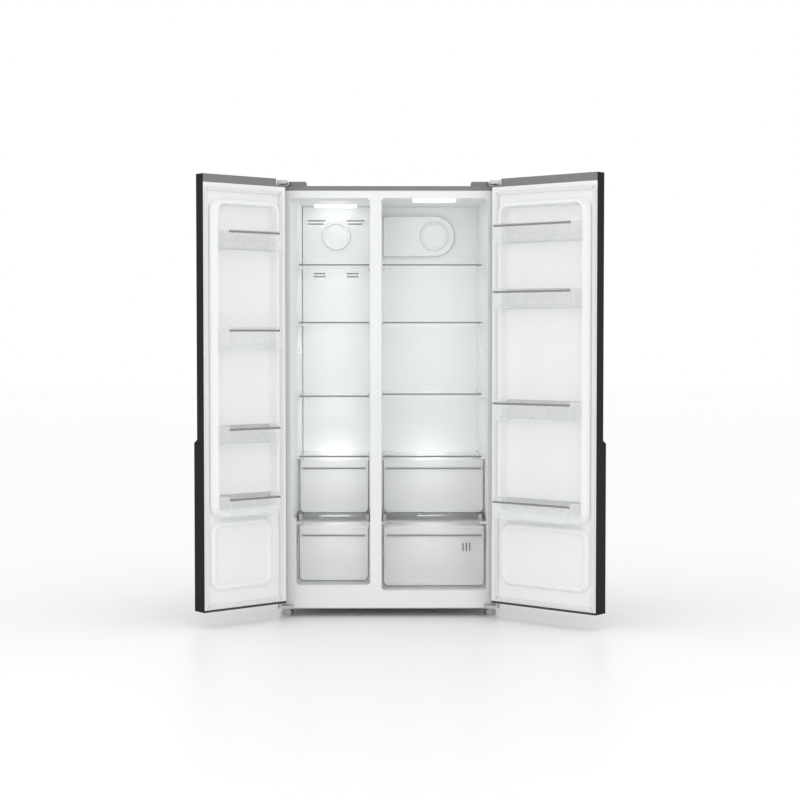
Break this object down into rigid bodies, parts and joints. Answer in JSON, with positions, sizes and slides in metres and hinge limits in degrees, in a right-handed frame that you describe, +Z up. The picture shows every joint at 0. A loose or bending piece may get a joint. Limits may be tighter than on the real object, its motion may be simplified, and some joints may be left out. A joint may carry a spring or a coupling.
{
  "type": "side by side refrigerator",
  "caption": "Free-standing side by side refrigerator with a narrow freezer on the left and a wide refrigerator on the right, both doors open, glass shelves, clear drawers and door bins.",
  "frame": {"origin": "on the floor, under the middle of the cabinet's front face", "axes": "+X to the right as seen from the front, +Y to the back, +Z up"},
  "size_m": [1.619, 1.0469, 1.788],
  "materials": {
    "graphite": "fine satin black powder coat",
    "grey": "satin grey paint",
    "grey_plastic": "satin grey ABS",
    "dark_plastic": "matt dark plastic",
    "white_plastic": "glossy white vacuum-formed ABS",
    "white_rubber": "soft white PVC seal",
    "foam": "sealed inner polyurethane foam",
    "glass": "clear tempered glass with a grey edge trim",
    "clear_plastic": "clear polystyrene",
    "lamp": "frosted lamp lens",
    "steel": "bright zinc-plated steel",
    "black_steel": "black stove enamel",
    "copper": "painted copper tube",
    "aluminium": "bare aluminium"
  },
  "bodies": {
    "cabinet": {"outer_shell": "grey", "back_plate": "grey", "base_plate": "steel", "front_frame": "white_plastic", "cabinet_foam": "foam", "freezer_liner": "white_plastic", "fridge_liner": "white_plastic", "freezer_back_panel": "white_plastic", "fridge_air_duct": "white_plastic", "vent_rings": "white_plastic", "lamp_lenses": "lamp", "sensor_covers": "white_plastic", "evaporator": "aluminium", "compressor": "black_steel", "condenser": "copper", "drip_tray": "dark_plastic", "rear_cover": "grey", "mains_inlet": "dark_plastic", "upper_hinges": "steel", "hinge_covers": "grey_plastic", "lower_hinges": "steel", "fan_motors": "dark_plastic", "freezer_shelf_1": "glass", "freezer_shelf_2": "glass", "freezer_shelf_3": "glass", "fridge_shelf_1": "glass", "fridge_shelf_2": "glass", "fridge_shelf_3": "glass", "freezer_drawer_shelves": "glass", "crisper_shelves": "glass"},
    "left_door": {"left_door_panel": "graphite", "left_door_foam": "foam", "left_door_liner": "white_plastic", "left_door_caps": "grey_plastic", "left_door_grip": "dark_plastic", "left_door_gasket": "white_rubber", "left_bin_1": "clear_plastic", "left_bin_2": "clear_plastic", "left_bin_3": "clear_plastic", "left_bin_4": "clear_plastic"},
    "right_door": {"right_door_panel": "graphite", "right_door_foam": "foam", "right_door_liner": "white_plastic", "right_door_caps": "grey_plastic", "right_door_grip": "dark_plastic", "right_door_gasket": "white_rubber", "right_bin_1": "clear_plastic", "right_bin_2": "clear_plastic", "right_bin_3": "clear_plastic", "right_bin_4": "clear_plastic"},
    "evaporator_fan": {"evaporator_fan": "white_plastic"},
    "condenser_fan": {"condenser_fan": "dark_plastic"},
    "foot_left": {"foot_left": "steel"},
    "foot_right": {"foot_right": "steel"},
    "roller_left": {"roller_left": "dark_plastic"},
    "roller_right": {"roller_right": "dark_plastic"},
    "freezer_drawer_upper": {"freezer_drawer_upper": "clear_plastic"},
    "freezer_drawer_lower": {"freezer_drawer_lower": "clear_plastic"},
    "crisper_upper": {"crisper_upper": "clear_plastic"},
    "crisper_lower": {"crisper_lower": "clear_plastic"}
  },
  "joints": [
    {"name": "left_door_hinge", "type": "hinge", "parent": "cabinet", "child": "left_door", "pos_m": [-0.444, -0.037, 0.9], "axis": [0, 0, -1], "range_deg": [-140, 0]},
    {"name": "right_door_hinge", "type": "hinge", "parent": "cabinet", "child": "right_door", "pos_m": [0.444, -0.037, 0.9], "axis": [0, 0, 1], "range_deg": [-140, 0]},
    {"name": "evaporator_fan_spin", "type": "hinge", "parent": "cabinet", "child": "evaporator_fan", "pos_m": [-0.22883, 0.473, 1.589], "axis": [0, 1, 0], "continuous": true},
    {"name": "condenser_fan_spin", "type": "hinge", "parent": "cabinet", "child": "condenser_fan", "pos_m": [0.078, 0.518, 0.1145], "axis": [1, 0, 0], "continuous": true},
    {"name": "foot_left_turn", "type": "hinge", "parent": "cabinet", "child": "foot_left", "pos_m": [-0.419, 0.055, 0.01], "axis": [0, 0, 1], "continuous": true},
    {"name": "foot_right_turn", "type": "hinge", "parent": "cabinet", "child": "foot_right", "pos_m": [0.419, 0.055, 0.01], "axis": [0, 0, 1], "continuous": true},
    {"name": "roller_left_roll", "type": "hinge", "parent": "cabinet", "child": "roller_left", "pos_m": [-0.41, 0.572, 0.024], "axis": [1, 0, 0], "continuous": true},
    {"name": "roller_right_roll", "type": "hinge", "parent": "cabinet", "child": "roller_right", "pos_m": [0.41, 0.572, 0.024], "axis": [1, 0, 0], "continuous": true},
    {"name": "freezer_drawer_upper_slide", "type": "slide", "parent": "cabinet", "child": "freezer_drawer_upper", "axis": [0, -1, 0], "range_m": [0, 0.24]},
    {"name": "freezer_drawer_lower_slide", "type": "slide", "parent": "cabinet", "child": "freezer_drawer_lower", "axis": [0, -1, 0], "range_m": [0, 0.25]},
    {"name": "crisper_upper_slide", "type": "slide", "parent": "cabinet", "child": "crisper_upper", "axis": [0, -1, 0], "range_m": [0, 0.24]},
    {"name": "crisper_lower_slide", "type": "slide", "parent": "cabinet", "child": "crisper_lower", "axis": [0, -1, 0], "range_m": [0, 0.25]}
  ]
}
